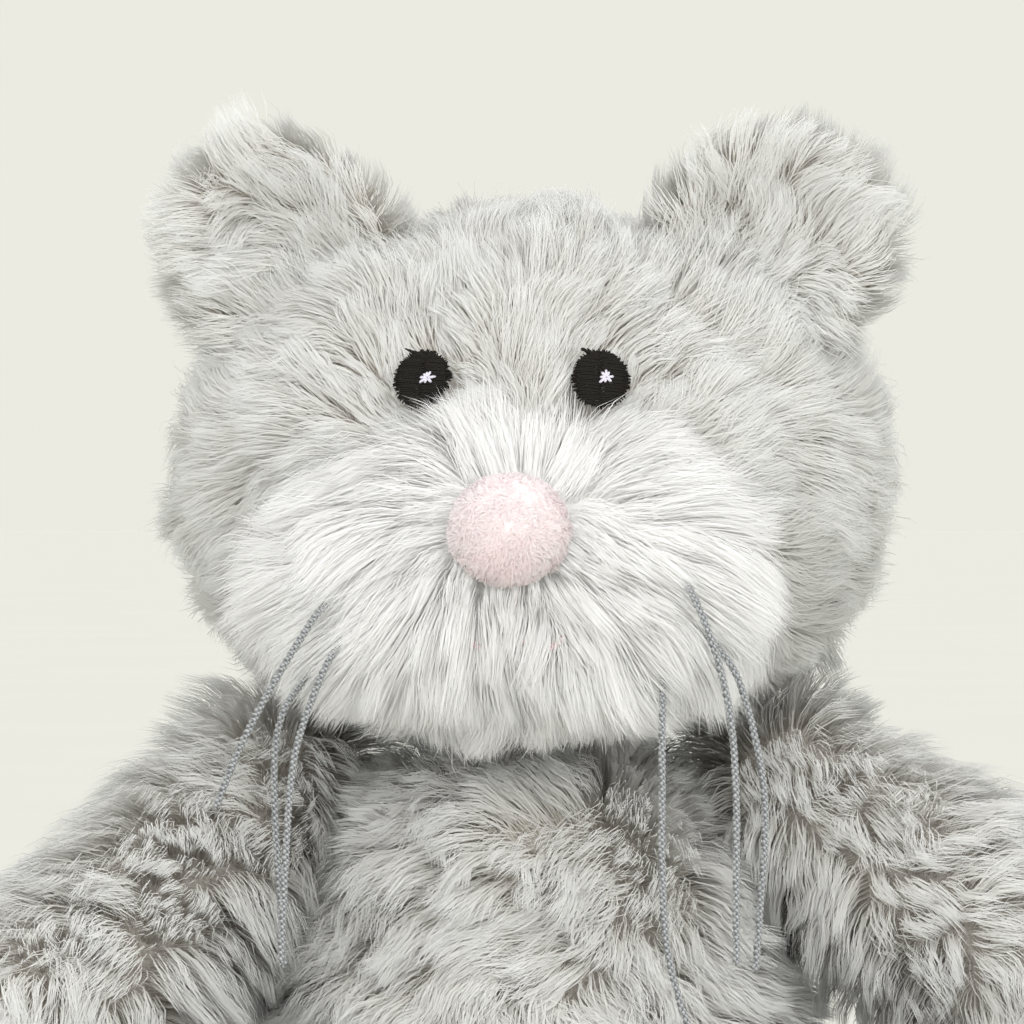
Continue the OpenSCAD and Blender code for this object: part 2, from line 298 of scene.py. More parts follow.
def floor_material():
    """Matt cream board with a barely seen mottle."""
    material, tree, shader = new_material("floor_board", 0.9, 0.1)
    mottle = noise_node(tree, 3, 2)
    ramp_colour(tree, shader, mottle, [(0.3, (0.675, 0.678, 0.624)), (0.7, (0.687, 0.690, 0.635))])
    return material


# ---- Cords and threads ----

# Each whisker: its cord, its CAD node, and its route in millimetres as in the CAD
WHISKERS = [
    ("whisker_cord_1", "whisker_1", [(-38, -76, 183), (-41, -83, 180), (-46, -87, 172), (-52, -87, 162),
                                     (-59, -85, 149), (-65, -82, 135)]),
    ("whisker_cord_2", "whisker_2", [(-43, -64, 168), (-46, -72, 164), (-50, -77, 157), (-52, -77, 148),
                                     (-52, -77, 134), (-51, -77, 117), (-50, -77, 99)]),
    ("whisker_cord_3", "whisker_3", [(-34, -75, 176), (-37, -83, 172), (-41, -85, 164), (-46, -84, 150),
                                     (-48, -83, 137), (-49, -83, 119), (-50, -83, 100)]),
    ("whisker_cord_4", "whisker_4", [(35, -68, 166), (36, -76, 162), (36, -79, 153), (36, -79, 140),
                                     (36, -79, 122), (37, -79, 105), (40, -79, 92), (43, -79, 84)]),
    ("whisker_cord_5", "whisker_5", [(40, -75, 187), (43, -83, 184), (47, -87, 175), (50, -87, 165),
                                     (52, -86, 154), (53, -86, 138), (53, -86, 120), (53, -86, 101)]),
    ("whisker_cord_6", "whisker_6", [(44, -68, 176), (48, -76, 172), (53, -79, 165), (57, -79, 151),
                                     (59, -79, 139), (59, -79, 126), (58, -79, 113), (57, -79, 99)])]
WHISKER_WIDTH = 1.8 * MM
WHISKER_PITCH = 2.9 * MM


def smooth_route(points, count):
    """`count` evenly spaced points on the smooth curve through the route's points."""
    points = np.array(points, float)
    ends = np.vstack([points[:1], points, points[-1:]])
    fine = []
    for i in range(len(points) - 1):
        a, b, c, d = ends[i:i + 4]
        for t in np.arange(20) / 20:
            fine.append(0.5 * (2 * b + (c - a) * t + (2 * a - 5 * b + 4 * c - d) * t ** 2
                               + (3 * b - a - 3 * c + d) * t ** 3))
    fine = np.array(fine + [points[-1]])
    travel = np.concatenate([[0], np.cumsum(np.linalg.norm(np.diff(fine, axis=0), axis=1))])
    even = np.linspace(0, travel[-1], count)
    return np.stack([np.interp(even, travel, fine[:, k]) for k in range(3)], axis=1), travel[-1]


def unit(vectors):
    return vectors / np.maximum(np.linalg.norm(vectors, axis=-1, keepdims=True), 1e-12)


def make_object(name, vertices, faces, material):
    mesh = bpy.data.meshes.new(name)
    mesh.from_pydata([tuple(v) for v in vertices], [], faces)
    mesh.materials.append(material)
    mesh.polygons.foreach_set("use_smooth", [True] * len(mesh.polygons))
    obj = bpy.data.objects.new(name, mesh)
    bpy.context.scene.collection.objects.link(obj)
    return obj


def tube(centres, radii, sides=8):
    """Vertices and faces of a closed tube round a line of centres."""
    ahead = unit(np.gradient(centres, axis=0))
    helper = np.array([1.0, 0, 0]) if abs(ahead[0][0]) < 0.8 else np.array([0, 1.0, 0])
    across = unit(np.cross(ahead, helper))
    out = np.cross(ahead, across)
    turns = np.arange(sides) * 2 * math.pi / sides
    ring = (np.cos(turns)[None, :, None] * across[:, None] + np.sin(turns)[None, :, None] * out[:, None])
    vertices = (centres[:, None] + ring * np.asarray(radii)[:, None, None]).reshape(-1, 3)
    faces = []
    for i in range(len(centres) - 1):
        for k in range(sides):
            n = (k + 1) % sides
            faces.append((i * sides + n, i * sides + k, (i + 1) * sides + k, (i + 1) * sides + n))
    faces.append(tuple(range(sides)))
    faces.append(tuple((len(centres) - 1) * sides + k for k in reversed(range(sides))))
    return vertices, faces


def joined(parts):
    """The vertices and faces of some parts as one."""
    vertices, faces = [], []
    for points, sides in parts:
        faces += [tuple(v + len(vertices) for v in face) for face in sides]
        vertices += list(points)
    return vertices, faces


def twisted_cord(line, width, pitch, plies=2, per_turn=14):
    """Vertices and faces of a cord of twisted plies along a line, with a tapered end."""
    travel = np.concatenate([[0], np.cumsum(np.linalg.norm(np.diff(line, axis=0), axis=1))])
    count = max(8, int(travel[-1] / pitch * per_turn))
    even = np.linspace(0, travel[-1], count)
    centre = np.stack([np.interp(even, travel, line[:, k]) for k in range(3)], axis=1)
    ahead = unit(np.gradient(centre, axis=0))
    across = unit(np.cross(ahead, np.array([1.0, 0.02, 0.03])))
    out = np.cross(ahead, across)
    close = np.clip((travel[-1] - even) / (width * 0.5), 0.45, 1)
    strands = []
    for ply in range(plies):
        turn = even / pitch * 2 * math.pi + ply * 2 * math.pi / plies
        offset = (np.cos(turn)[:, None] * across + np.sin(turn)[:, None] * out) * width * 0.235
        strands.append(tube(centre + offset * close[:, None], width * 0.265 * close))
    return joined(strands)


def make_whiskers(material):
    for name, node, route in WHISKERS:
        path, length = smooth_route(np.array(route) * MM, 60)
        vertices, faces = twisted_cord(path, WHISKER_WIDTH, WHISKER_PITCH)
        cord = make_object(name, vertices, faces, material)
        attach(cord, "head")
        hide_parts(node)


# ---- Skins: the cloth under the pile ----

def with_modifiers(obj):
    """A new mesh: the object's own with its modifiers applied."""
    bpy.context.view_layer.update()
    return bpy.data.meshes.new_from_object(obj.evaluated_get(bpy.context.evaluated_depsgraph_get()))


def closed_skin(node, voxel, grow):
    """A smooth closed mesh round a CAD filling's outer surface, grown outwards by `grow`."""
    bm = bmesh.new()
    bm.from_mesh(frame["nodes"][node].data)
    bmesh.ops.remove_doubles(bm, verts=bm.verts, dist=0.01 * MM)
    drop_inner_islands(bm)
    mesh = bpy.data.meshes.new("skin")
    bm.to_mesh(mesh)
    bm.free()
    obj = bpy.data.objects.new("skin", mesh)
    bpy.context.scene.collection.objects.link(obj)
    remesh = obj.modifiers.new("remesh", "REMESH")
    remesh.mode = "VOXEL"
    remesh.voxel_size = voxel
    smooth = obj.modifiers.new("smooth", "SMOOTH")
    smooth.factor = 0.5
    smooth.iterations = 6
    swell = obj.modifiers.new("swell", "DISPLACE")
    swell.strength = grow
    swell.mid_level = 0
    shape = with_modifiers(obj)
    bpy.data.objects.remove(obj)
    return shape


def drop_inner_islands(bm):
    """Keeps the largest connected surface only."""
    bm.verts.ensure_lookup_table()
    seen, islands = set(), []
    for start in bm.verts:
        if start in seen:
            continue
        island, queue = [], [start]
        seen.add(start)
        while queue:
            vertex = queue.pop()
            island.append(vertex)
            for edge in vertex.link_edges:
                other = edge.other_vert(vertex)
                if other not in seen:
                    seen.add(other)
                    queue.append(other)
        islands.append(island)

    def reach(island):
        heights = [v.co.z for v in island]
        return max(heights) - min(heights)

    keep = max(islands, key=reach)
    bmesh.ops.delete(bm, geom=[v for i in islands if i is not keep for v in i], context="VERTS")


def surface(mesh):
    """Points, outward normals and triangles of a mesh."""
    points = np.zeros(len(mesh.vertices) * 3, np.float32)
    mesh.vertices.foreach_get("co", points)
    normals = np.zeros(len(mesh.vertices) * 3, np.float32)
    mesh.vertex_normals.foreach_get("vector", normals)
    mesh.calc_loop_triangles()
    triangles = np.zeros(len(mesh.loop_triangles) * 3, np.int32)
    mesh.loop_triangles.foreach_get("vertices", triangles)
    return (points.reshape(-1, 3).astype(float), normals.reshape(-1, 3).astype(float),
            triangles.reshape(-1, 3))


def panel_tree(node):
    """A CAD node's surface, to find the nearest place on it."""
    points, _, triangles = surface(frame["nodes"][node].data)
    return BVHTree.FromPolygons(points.tolist(), triangles.tolist())


def nearest_panel(centres, panels):
    """For each centre, the number of the CAD panel that it lies in or nearest to."""
    trees = [panel_tree(panel) for panel in panels]
    return np.array([min(range(len(panels)), key=lambda k: trees[k].find_nearest(c)[3])
                     for c in centres.tolist()])


def cloth_panel(name, points, triangles, thickness, material):
    """One panel of backing cloth, as a closed sheet of that thickness."""
    used = np.unique(triangles)
    place = np.full(len(points), -1)
    place[used] = np.arange(len(used))
    obj = make_object(name, points[used], [tuple(t) for t in place[triangles].tolist()], material)
    thick = obj.modifiers.new("thickness", "SOLIDIFY")
    thick.thickness = thickness
    thick.offset = -1
    mesh = with_modifiers(obj)
    obj.modifiers.clear()
    obj.data = mesh
    return obj


# ---- Pile ----

# A fibre has RINGS places along it: pairs of points, TAPER wide, and one at its tip
FIBRE_UV = "OFBake"
RINGS = 4
TAPER = np.array([0.75, 1.0, 0.8, 0.0])
RIBBON_POINTS = 2 * RINGS - 1
FLOOR_GAP = 0.4 * MM


def waves(points, wavelength, seed):
    """Smooth noise from about -1 to 1, the same at every run."""
    rng = np.random.default_rng(seed)
    ways = unit(rng.normal(size=(7, 3))) * 2 * math.pi / wavelength * rng.uniform(0.6, 1.5, (7, 1))
    return np.sin(points @ ways.T + rng.uniform(0, 6.28, 7)).sum(axis=1) / 2.6


def scatter(points, normals, triangles, per_mm2, rng):
    """Random roots on a surface, with their normals."""
    a, b, c = (points[triangles[:, k]] for k in range(3))
    area = np.linalg.norm(np.cross(b - a, c - a), axis=1) / 2
    count = int(area.sum() / MM ** 2 * per_mm2)
    pick = rng.choice(len(triangles), count, p=area / area.sum())
    u, v = rng.random(count), rng.random(count)
    flip = u + v > 1
    u[flip], v[flip] = 1 - u[flip], 1 - v[flip]
    share = np.stack([1 - u - v, u, v], axis=1)
    roots = (points[triangles[pick]] * share[:, :, None]).sum(axis=1)
    out = unit((normals[triangles[pick]] * share[:, :, None]).sum(axis=1))
    return roots, out


def turned(vectors, axes, angles):
    """Vectors turned about unit axes that are square to them."""
    return (vectors * np.cos(angles)[:, None] + np.cross(axes, vectors) * np.sin(angles)[:, None])


def lay_fibres(roots, out, comb, loft, lengths, coat, rng):
    """Centre lines, as (fibres, RINGS, 3): each rises from its root and bends over along the comb,
    by `loft` radians less than the coat's usual bend. A few stray ones are longer and stand up."""
    along = unit(comb - out * (comb * out).sum(axis=1, keepdims=True))
    swirl = np.tanh(waves(roots, coat["swirl_size"], 11)) + 0.6 * waves(roots, coat["swirl_size"] / 4, 12)
    along = turned(along, out, swirl * coat["swirl"] + rng.normal(0, coat["fray"], len(roots)))
    lift = 1 + 0.25 * waves(roots, 13 * MM, 13) + rng.normal(0, 0.14, len(roots))
    stray = rng.random(len(roots)) < 0.03
    lengths = np.where(stray, lengths * 1.25, lengths)
    loft = np.where(stray, loft + 0.35, loft)
    steps = np.linspace(0, 1, RINGS - 1)
    lines = [roots]
    for step in steps:
        angle = np.clip((coat["rise"] * (1 - step) + coat["lie"] * step) * lift + loft, 0.02, 1.5)
        way = along * np.cos(angle)[:, None] + out * np.sin(angle)[:, None]
        way = unit(way + DOWN * coat["droop"] * step)
        lines.append(lines[-1] + way * (lengths / (RINGS - 1))[:, None])
    return np.stack(lines, axis=1)


def gather(lines, spacing, pull, rng):
    """Draws fibres together towards one guide fibre in each patch, more so near the tips."""
    roots = lines[:, 0]
    spread = np.ptp(roots, axis=0)
    area = 2 * (spread[0] * spread[1] + spread[1] * spread[2] + spread[0] * spread[2]) * 0.6
    count = int(min(len(lines) / 3, max(4, area / spacing ** 2)))
    guides = rng.choice(len(lines), count, replace=False)
    tree = KDTree(count)
    for i, g in enumerate(guides):
        tree.insert(roots[g], i)
    tree.balance()
    nearest = guides[np.array([tree.find(r)[1] for r in roots.tolist()])]
    strength = pull * rng.uniform(0.75, 1.1, len(lines))
    rings = np.linspace(0, 1, RINGS) ** 1.2
    weight = np.clip(strength[:, None] * rings[None, :], 0, 0.96)[:, :, None]
    return lines * (1 - weight) + lines[nearest] * weight, nearest


def ribbon_corners(count):
    """The vertex of each face corner and the corners of each face, for `count` ribbons in a row."""
    quads = RINGS - 2
    corners = []
    for q in range(quads):
        corners += [2 * q, 2 * q + 1, 2 * q + 3, 2 * q + 2]
    corners += [2 * quads, 2 * quads + 1, 2 * quads + 2]
    loops = (np.arange(count)[:, None] * RIBBON_POINTS + np.array(corners)[None, :]).ravel()
    return loops, np.tile([4] * quads + [3], count)


def ribbon_uv(shade, count):
    """U says how pale a fibre is against the next, V how far a vertex is from its root."""
    height = np.concatenate([np.repeat(np.linspace(0, 1, RINGS)[:-1], 2), [1.0]])
    return np.stack([np.repeat(shade, RIBBON_POINTS), np.tile(height, count)], axis=1)


def ribbon_mesh(name, lines, out, widths, shade, material, rng):
    """One flat tapered ribbon a fibre, turned to face outwards, as one mesh."""
    count = len(lines)
    ahead = unit(np.gradient(lines, axis=1))
    face_out = np.repeat(out[:, None], RINGS, axis=1)
    side = unit(np.cross(ahead, face_out))
    roll = rng.uniform(-0.6, 0.6, count)[:, None, None]
    side = side * np.cos(roll) + np.cross(ahead, side) * np.sin(roll)
    half = side * (widths[:, None] / 2 * TAPER[None, :])[:, :, None]
    left, right = lines - half, lines + half
    shown = np.concatenate([np.stack([left[:, :-1], right[:, :-1]], axis=2).reshape(count, -1, 3),
                            lines[:, -1:]], axis=1)
    vertices = shown.reshape(-1, 3)
    vertices[:, 2] = np.maximum(vertices[:, 2], FLOOR_GAP)
    shading = unit(face_out - ahead * (ahead * face_out).sum(axis=2, keepdims=True) * 0.3)
    shading = np.concatenate([np.repeat(shading[:, :-1], 2, axis=1), shading[:, -1:]], axis=1)
    loops, sizes = ribbon_corners(count)
    starts = np.concatenate([[0], np.cumsum(sizes)[:-1]])
    mesh = bpy.data.meshes.new(name)
    mesh.vertices.add(len(vertices))
    mesh.vertices.foreach_set("co", vertices.astype(np.float32).ravel())
    mesh.loops.add(len(loops))
    mesh.loops.foreach_set("vertex_index", loops.astype(np.int32))
    mesh.polygons.add(len(sizes))
    mesh.polygons.foreach_set("loop_start", starts.astype(np.int32))
    mesh.polygons.foreach_set("use_smooth", np.ones(len(sizes), bool))
    uv = ribbon_uv(shade, count)[loops]
    layer = mesh.uv_layers.new(name=FIBRE_UV)
    layer.uv.foreach_set("vector", np.clip(uv, 0.001, 0.999).astype(np.float32).ravel())
    mesh.update(calc_edges=True)
    mesh.normals_split_custom_set_from_vertices(shading.reshape(-1, 3).astype(np.float32))
    mesh.materials.append(material)
    obj = bpy.data.objects.new(name, mesh)
    bpy.context.scene.collection.objects.link(obj)
    return obj


def grow_pile(name, skin_part, coat, comb, material, trim=None, seed=1, loft=None, clear=None,
              tone=None):
    """A pile piece on one panel: roots, lie, tufts and ribbons. `trim` gives the share of the
    length that is left at a root, `loft` how much a fibre stands up, `clear` which fibres stay,
    and `tone` a share that darkens a fibre's tint."""
    rng = np.random.default_rng(seed)
    roots, out = scatter(*skin_part, coat["per_mm2"], rng)
    lengths = coat["length"] * rng.uniform(0.7, 1.1, len(roots)) * (1 + 0.15 * waves(roots, 17 * MM, 5))
    if trim is not None:
        share = trim(roots)
        keep = share > 0
        roots, out, lengths = roots[keep], out[keep], (lengths * share)[keep]
    stand = np.zeros(len(roots)) if loft is None else loft(roots)
    lines = lay_fibres(roots, out, comb(roots), stand, lengths, coat, rng)
    shade = np.zeros(len(lines))
    for spacing, pull, weight in coat["tufts"]:
        lines, guide = gather(lines, spacing, pull, rng)
        shade += rng.random(len(lines))[guide] * weight
    shade += rng.random(len(lines)) * (1 - sum(t[2] for t in coat["tufts"]))
    if tone is not None:
        shade = shade * (1 - tone(lines[:, 0]))
    if clear is not None:
        keep = clear(lines)
        lines, out, shade = lines[keep], out[keep], shade[keep]
    widths = coat["width"] * rng.uniform(0.7, 1.25, len(lines))
    return ribbon_mesh(name, lines, out, widths, shade, material, rng)


# ---- Coats ----

def coat(per_mm2, length, width, rise, lie, droop, swirl, swirl_size, fray, tufts):
    """How one region's pile grows: lengths in mm, angles in degrees above the skin."""
    return {"per_mm2": per_mm2, "length": length * MM, "width": width * MM,
            "rise": math.radians(rise), "lie": math.radians(lie), "droop": droop,
            "swirl": math.radians(swirl), "swirl_size": swirl_size * MM, "fray": math.radians(fray),
            "tufts": [(size * MM, pull, weight) for size, pull, weight in tufts]}


SOFT_TUFTS = [(1.6, 0.15, 0.15), (5, 0.50, 0.3), (13, 0.35, 0.25)]
TUFTS = [(1.6, 0.25, 0.15), (4.6, 0.58, 0.3), (12, 0.4, 0.25)]
FACE_COAT = coat(3.0, 20, 0.24, 58, 12, 0.08, 42, 34, 16, SOFT_TUFTS)
HEAD_BACK_COAT = coat(1.6, 20, 0.34, 58, 12, 0.12, 40, 36, 18, TUFTS)
MUZZLE_COAT = coat(3.4, 29, 0.22, 50, 8, 0.10, 34, 32, 15, SOFT_TUFTS)
EAR_COAT = coat(2.8, 17, 0.25, 56, 16, 0.05, 45, 30, 18, SOFT_TUFTS)
CHEST_COAT = coat(2.3, 20, 0.26, 58, 12, 0.16, 50, 26, 23, TUFTS)
BACK_COAT = coat(1.3, 20, 0.36, 58, 12, 0.12, 45, 36, 20, TUFTS)
BASE_COAT = coat(0.8, 14, 0.40, 30, 5, 0.0, 45, 50, 15, TUFTS)
ARM_COAT = coat(2.1, 22, 0.27, 58, 12, 0.12, 42, 30, 20, TUFTS)
PAW_COAT = coat(1.9, 17, 0.28, 52, 12, 0.08, 26, 40, 16, TUFTS)
LEG_COAT = coat(1.3, 19, 0.34, 56, 12, 0.10, 38, 36, 18, TUFTS)
FOOT_COAT = coat(1.4, 17, 0.32, 52, 12, 0.08, 26, 40, 16, TUFTS)
TAIL_COAT = coat(1.5, 15, 0.32, 50, 12, 0.08, 20, 40, 16, TUFTS)
NOSE_COAT = coat(9.0, 2.4, 0.26, 38, 14, 0.0, 80, 8, 50, [(0.9, 0.15, 0.2), (3, 0.1, 0.2)])


def centre_of(*nodes):
    """Middle of the box round some CAD nodes."""
    boxes = [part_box(n) for n in nodes]
    low = np.min([b[0] for b in boxes], axis=0)
    high = np.max([b[1] for b in boxes], axis=0)
    return (low + high) / 2


PIVOTS = {joint["child"]: np.array(joint["pos_m"], float) for joint in frame["joints"]}
NOSE = centre_of("nose_cover")
BRIDGE = NOSE + np.array([2, 22, 8]) * MM
BETWEEN_EYES = np.array([-7, -58, 230]) * MM
EYE_RADIUS = 6.7 * MM
# The right eye's place in millimetres, as in the CAD, and its turns; the left one mirrors it
EYE_PLACE = (20.5, -56.4, 232.6)
EYE_TILT = math.radians(69)
EYE_TURN = math.radians(8)
EYES = {"left": -1, "right": 1}


def eye_frame(side):
    """The eye's place and turn, with +Z out of the face, as in the CAD."""
    across, depth, height = EYE_PLACE
    place = Matrix.Translation(Vector((side * across, depth, height)) * MM)
    return place @ Euler((EYE_TILT, 0, side * EYE_TURN)).to_matrix().to_4x4()


# ---- How the pile is combed, and where it is trimmed ----

def comb_head(points):
    """Away from the bridge of the nose, and down at the back of the head."""
    back = np.clip(points[:, 1:2] / (50 * MM), 0, 1)
    return unit(points - BRIDGE) * (1 - 0.8 * back) + DOWN * (0.12 + 0.8 * back)


def comb_muzzle(points):
    """Away from the nose on all sides, and falling."""
    return unit(points - NOSE - np.array([0, 14, 4]) * MM) + DOWN * 0.12


def comb_torso(points):
    """Down, with wide cowlicks."""
    aside = np.stack([waves(points, 90 * MM, 21), 0 * points[:, 0], 0 * points[:, 0]], axis=1)
    return DOWN + aside * 0.7


def comb_limb(root, tip):
    def comb(points):
        return np.tile(unit(tip - root) + DOWN * 0.3, (len(points), 1))
    return comb


def comb_tail(points):
    """Along the tail's curve."""
    low, high = (np.array(c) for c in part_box("tail_cloth"))
    middle = np.array([high[0], low[1], 0])
    ways = points - middle
    return np.stack([ways[:, 1], -ways[:, 0], 0 * ways[:, 0]], axis=1)


def comb_ear(base):
    def comb(points):
        return unit(points - base) + DOWN * 0.15
    return comb


def outside_balls(balls):
    """No roots inside the balls where two bodies meet."""
    def trim(points):
        share = np.ones(len(points))
        for place, radius in balls:
            share[np.linalg.norm(points - place, axis=1) < radius] = 0
        return share
    return trim


def trim_neck(points):
    """Short round the neck, and bare where the neck is inside the body."""
    reach = np.linalg.norm(points - PIVOTS["head"], axis=1)
    bare = points[:, 2] < PIVOTS["head"][2] - 4 * MM
    return np.where(reach < 29.5 * MM, np.where(bare, 0, 0.4), 1.0)


def trim_face(points):
    """Bare under the eyes' stitching, short round them and between them, and bare at the neck."""
    share = trim_neck(points)
    share *= np.clip(np.linalg.norm(points - BETWEEN_EYES, axis=1) / (13 * MM), 0.4, 1)
    for side in EYES.values():
        reach = np.linalg.norm(points - np.array(eye_frame(side).translation), axis=1)
        share = np.where(reach < EYE_RADIUS, 0, share * np.clip((reach - 1 * MM) / (20 * MM), 0.28, 1))
    return share


def trim_muzzle(points):
    """Bare under the nose."""
    from_nose = points - NOSE
    reach = np.linalg.norm(from_nose * np.array([1, 0.9, 1.1]), axis=1)
    below = np.clip(-from_nose[:, 2] / (40 * MM), 0, 1)
    share = np.clip((reach - 2 * MM) / (26 * MM), 0.45, 1) * (1 - 0.42 * below ** 2)
    return np.where(reach < 11.5 * MM, 0, share)


def trim_limb(root, tip, hidden):
    """Bare where the limb's root stays inside the body."""
    axis = unit(tip - root)

    def trim(points):
        return np.where((points - root) @ axis < -hidden, 0, 1.0)
    return trim


def stand_near(places, reach, loft):
    """Pile that stands up by `loft` degrees at the places and by nothing `reach` away from them."""
    def stand(points):
        near = np.min([np.linalg.norm(points - place, axis=1) for place in places], axis=0)
        return math.radians(loft) * np.clip(1.6 - 1.6 * near / reach, 0, 1)
    return stand


def clear_of_eyes(lines):
    """Which fibres leave the stitched eyes free."""
    keep = np.ones(len(lines), bool)
    for side in EYES.values():
        back = np.array(eye_frame(side).inverted())
        local = lines @ back[:3, :3].T + back[:3, 3]
        over = (np.hypot(local[..., 0], local[..., 1]) < EYE_RADIUS * 0.93) & (local[..., 2] > -6 * MM)
        keep &= ~over.any(axis=1)
    return keep


# ---- Soft bodies ----

BACKING = 0.9 * MM
SKIN_GROW = 1.6 * MM


def build_soft_body(filling, panels, body, materials, coats, combs, trim, seed, voxel=3 * MM,
                    loft=None, clear=None, shape=None):
    """The cloth panels and their pile round one stuffed form."""
    mesh = closed_skin(filling, voxel, SKIN_GROW)
    points, normals, triangles = surface(mesh)
    if shape is not None:
        points = shape(points)
    labels = nearest_panel(points[triangles].mean(axis=1), panels)
    for number, panel in enumerate(panels):
        part = triangles[labels == number]
        cloth, pile = materials[panel]
        skin = cloth_panel(panel + "_backing", points, part, BACKING, cloth)
        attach(skin, body)
        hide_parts(panel)
        fur = grow_pile(panel + "_pile", (points, normals, part), coats[panel], combs[panel], pile,
                        trim.get(panel), seed + number, loft, clear)
        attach(fur, body)


def build_head(materials):
    panels = ["face_panel", "head_back_panel", "muzzle_panel"]
    build_soft_body(
        "head_filling", panels, "head", materials,
        {"face_panel": FACE_COAT, "head_back_panel": HEAD_BACK_COAT, "muzzle_panel": MUZZLE_COAT},
        {"face_panel": comb_head, "head_back_panel": comb_head, "muzzle_panel": comb_muzzle},
        {"face_panel": trim_face, "head_back_panel": trim_neck, "muzzle_panel": trim_muzzle}, 100,
        loft=stand_near([NOSE], 24 * MM, 32), clear=clear_of_eyes, shape=neck_in_socket)


NECK_RADIUS = 26 * MM


def neck_in_socket(points):
    """The head's skin with its neck ball no wider than in the CAD, so that it turns freely."""
    away = points - PIVOTS["head"]
    reach = np.linalg.norm(away, axis=1, keepdims=True)
    wide = (reach > NECK_RADIUS) & (reach < NECK_RADIUS + 3 * MM) & (away[:, 2:] < 0)
    return np.where(wide, PIVOTS["head"] + away * NECK_RADIUS / reach, points)


def socket_round_neck(points):
    """The torso's skin with its neck socket no narrower than in the CAD."""
    away = points - PIVOTS["head"]
    reach = np.linalg.norm(away, axis=1, keepdims=True)
    least = NECK_RADIUS + 0.5 * MM
    return np.where(reach < least, PIVOTS["head"] + away * least / reach, points)


CHEST_TOP = 133 * MM
CHEST_PUSH = np.array([0, -16, 0]) * MM


def fuller_chest(points):
    """The chest's top pushed forward under the chin, as the stuffing does."""
    rise = np.exp(-((points[:, 2] - CHEST_TOP) / (20 * MM)) ** 2 - (points[:, 0] / (38 * MM)) ** 2)
    front = np.clip(-points[:, 1] / (20 * MM), 0, 1)
    return socket_round_neck(points) + (rise * front)[:, None] * CHEST_PUSH


def torso_fluff():
    """Where the torso's pile stands up: in a ring round the neck's back, and under the arms."""
    ring = np.radians(np.linspace(-20, 200, 10))
    places = [PIVOTS["head"] + np.array([40 * math.cos(t), 40 * math.sin(t), -10]) * MM for t in ring]
    return places + [np.array([64 * side, -12, 84]) * MM for side in EYES.values()]


def build_torso(materials):
    panels = ["chest_panel", "back_panel", "base_panel"]
    balls = [(PIVOTS["head"], 27.5 * MM), (PIVOTS["tail"], 17.5 * MM)]
    balls += [(PIVOTS[side + "_arm"], 25.5 * MM) for side in EYES]
    balls += [(PIVOTS[side + "_leg"], 34.5 * MM) for side in EYES]
    trim = outside_balls(balls)
    build_soft_body(
        "body_filling", panels, "torso", materials,
        {"chest_panel": CHEST_COAT, "back_panel": BACK_COAT, "base_panel": BASE_COAT},
        dict.fromkeys(panels, comb_torso), dict.fromkeys(panels, trim), 200,
        loft=stand_near(torso_fluff(), 40 * MM, 40), shape=fuller_chest)


def build_limb(body, part, end, coats, hidden, loft, materials, seed):
    """An arm and its paw, or a leg and its foot. The pile stands up by `loft` degrees over the root
    and at the limb's inner side."""
    root = PIVOTS[body]
    side = body.split("_")[0]
    panels = [f"{side}_{part}_cloth", f"{side}_{end}_cloth"]
    tip = centre_of(panels[1])
    comb = comb_limb(root, tip)
    trim = trim_limb(root, tip, hidden)
    over = root + np.array([0, 0, 25]) * MM
    inner = root + unit(tip - root) * 50 * MM + np.array([-14 * np.sign(root[0]), 0, -18]) * MM
    build_soft_body(
        body + "_filling", panels, body, materials, dict(zip(panels, coats)),
        dict.fromkeys(panels, comb), dict.fromkeys(panels, trim), seed,
        loft=stand_near([over, inner], 60 * MM, loft))


def build_tail(materials):
    root = PIVOTS["tail"]
    build_soft_body(
        "tail_filling", ["tail_cloth"], "tail", materials, {"tail_cloth": TAIL_COAT},
        {"tail_cloth": comb_tail},
        {"tail_cloth": trim_limb(root, root + np.array([0, 0.01, 0]), 6 * MM)}, 700, voxel=1.5 * MM)


# ---- Ears ----

EAR_RADIUS = 25 * MM
EAR_REACH = 32 * MM


def ear_surface(centre, inward, rings=16, spokes=48):
    """Points and faces of a cupped disc whose two sides curl forward along its base line."""
    base = unit(np.array([inward * 0.72, 0, -0.69]))
    across = np.array([-base[2], 0, base[0]])
    points, front, back = [], [], []
    for sheet in (-1, 1):
        for i in range(rings + 1):
            for k in range(spokes):
                r = i / rings
                turn = k * 2 * math.pi / spokes
                place = np.array([math.cos(turn), 0, math.sin(turn)]) * r * EAR_RADIUS
                aside = (place @ across) / EAR_RADIUS
                towards = max(0.0, (place @ base) / EAR_RADIUS)
                dish = 5 * MM * (1 - r * r) - 8 * MM * aside * aside * (0.5 + towards)
                half = (4.4 * math.sqrt(max(0, 1 - r ** 4)) + 0.2) * MM
                place = place * (1 - 0.10 * aside * aside)
                points.append(centre + place + np.array([0, dish + sheet * half, 0]))
    loop = (rings + 1) * spokes
    for i in range(rings):
        for k in range(spokes):
            a, b = i * spokes + k, i * spokes + (k + 1) % spokes
            front.append((a, b, b + spokes, a + spokes))
            back.append((a + loop, a + loop + spokes, b + loop + spokes, b + loop))
    return np.array(points), front + back


def closed_mesh(points, faces):
    """A mesh with its meeting edges joined and its faces turned outwards."""
    bm = bmesh.new()
    for p in points:
        bm.verts.new(p)
    bm.verts.ensure_lookup_table()
    for face in faces:
        bm.faces.new([bm.verts[v] for v in face])
    bmesh.ops.remove_doubles(bm, verts=bm.verts, dist=0.05 * MM)
    bmesh.ops.recalc_face_normals(bm, faces=bm.faces)
    mesh = bpy.data.meshes.new("ear")
    bm.to_mesh(mesh)
    bm.free()
    return mesh


